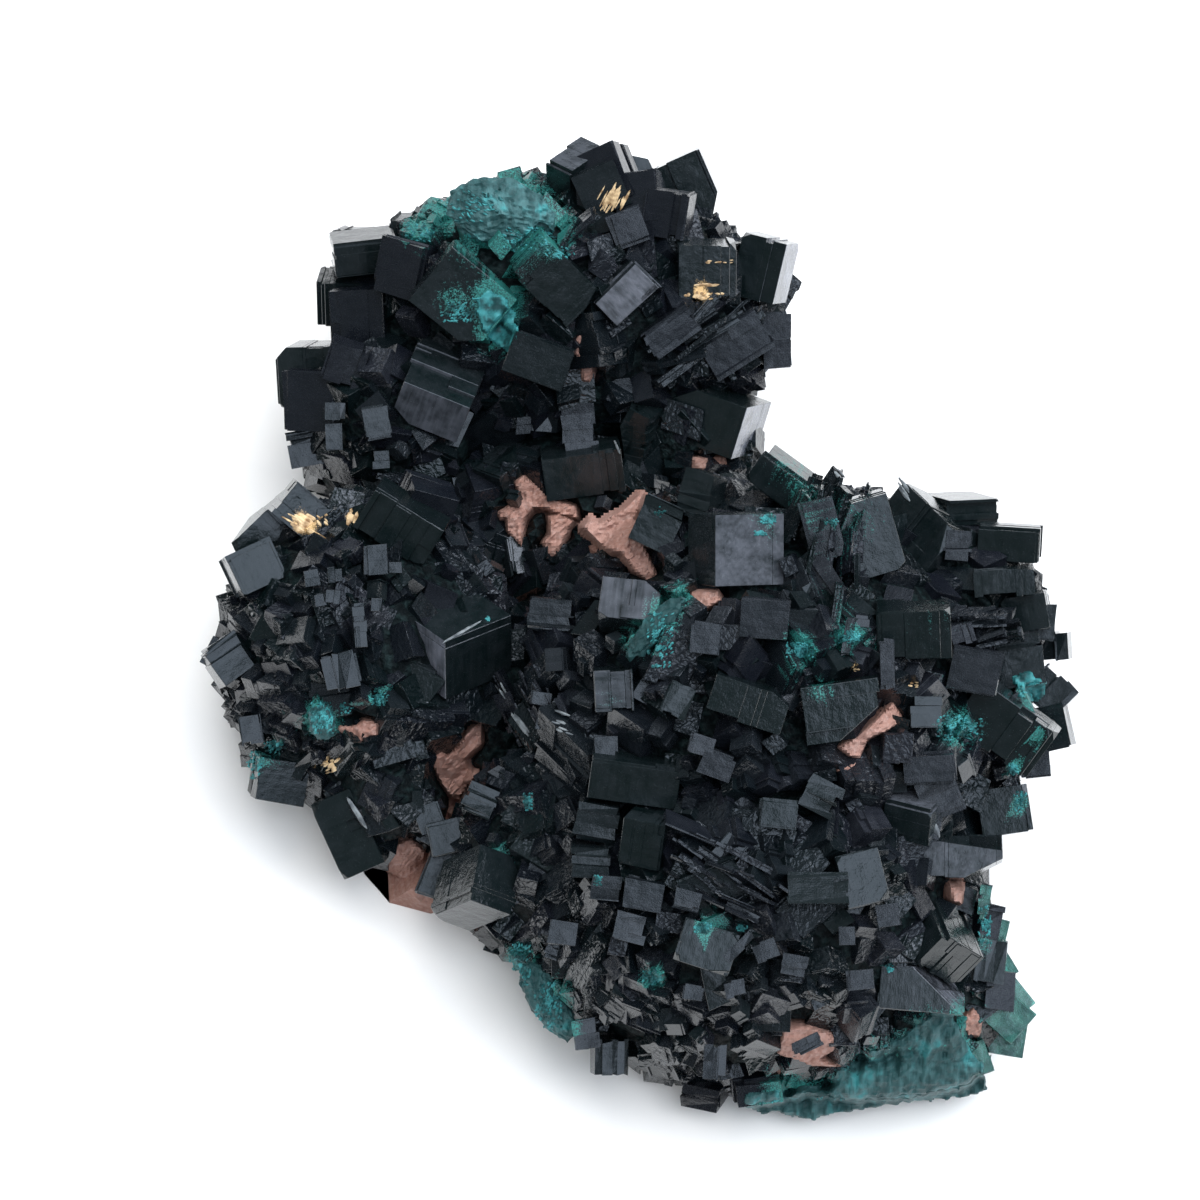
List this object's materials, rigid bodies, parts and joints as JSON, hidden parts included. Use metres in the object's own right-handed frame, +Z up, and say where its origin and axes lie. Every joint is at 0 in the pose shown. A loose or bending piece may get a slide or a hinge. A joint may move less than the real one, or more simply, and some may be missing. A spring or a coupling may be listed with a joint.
{
  "type": "dioptase mineral specimen",
  "caption": "Mineral specimen: a crust of block-shaped dark blue-green dioptase crystals in swelling lobes on pink dolomite, with blue-green chrysocolla, flat underneath.",
  "frame": {"origin": "point of the flat underside below the middle of the specimen, where the three lobes meet", "axes": "+Z up from the flat underside; -Y towards the viewer of the display side, the large dome at front right; +X to the viewer's right"},
  "size_m": [0.0849, 0.1039, 0.0394],
  "materials": {
    "dioptase": "polished",
    "dioptase_druse": "gloss",
    "pink_dolomite": "matte",
    "chrysocolla": "matte"
  },
  "bodies": {
    "root": {"back_crown_crystal": "dioptase", "back_dome_crystal": "dioptase", "back_left_crystal": "dioptase", "centre_low_crystal": "dioptase", "centre_pillar_crystal": "dioptase", "crown_bright_crystal": "dioptase", "crown_coated_crystal": "dioptase", "crown_grey_slab": "dioptase", "crown_layered_crystal": "dioptase", "crown_peak_crystal": "dioptase", "crown_plated_crystal": "dioptase", "crown_right_end_crystal": "dioptase", "crown_right_peak_crystal": "dioptase", "crown_west_crystal": "dioptase", "crown_west_step_crystal": "dioptase", "crown_west_top_crystal": "dioptase", "crust_crown": "chrysocolla", "crust_foot": "chrysocolla", "crust_left_edge": "chrysocolla", "crust_left_lobe": "chrysocolla", "crust_valley": "chrysocolla", "druse": "dioptase_druse", "fan_block_crystal": "dioptase", "fan_plate_crystal": "dioptase", "foot_green_tip": "dioptase", "foot_grey_slab": "dioptase", "hexagonal_edge_crystal": "dioptase", "left_lobe_dark_crystal": "dioptase", "left_lobe_grey_face_crystal": "dioptase", "left_lobe_round_crystal": "dioptase", "left_lobe_shoulder_crystal": "dioptase", "left_lobe_streaked_crystal": "dioptase", "matrix": "pink_dolomite", "olive_crystal": "dioptase", "parallel_middle_crystal": "dioptase", "parallel_top_crystal": "dioptase", "right_cluster_fourth": "dioptase", "right_cluster_second": "dioptase", "right_cluster_third": "dioptase", "right_cluster_top": "dioptase", "right_edge_rhomb_crystal": "dioptase", "right_low_block": "dioptase", "right_low_slab": "dioptase", "right_slope_blue_crystal": "dioptase", "right_slope_slab": "dioptase", "shelf_left_crystal": "dioptase", "shelf_right_crystal": "dioptase", "shelf_top_crystal": "dioptase", "square_blue_grey_crystal": "dioptase", "valley_black_crystal": "dioptase", "valley_dark_crystal": "dioptase", "valley_layered_crystal": "dioptase", "valley_pale_crystal": "dioptase"}
  },
  "joints": []
}
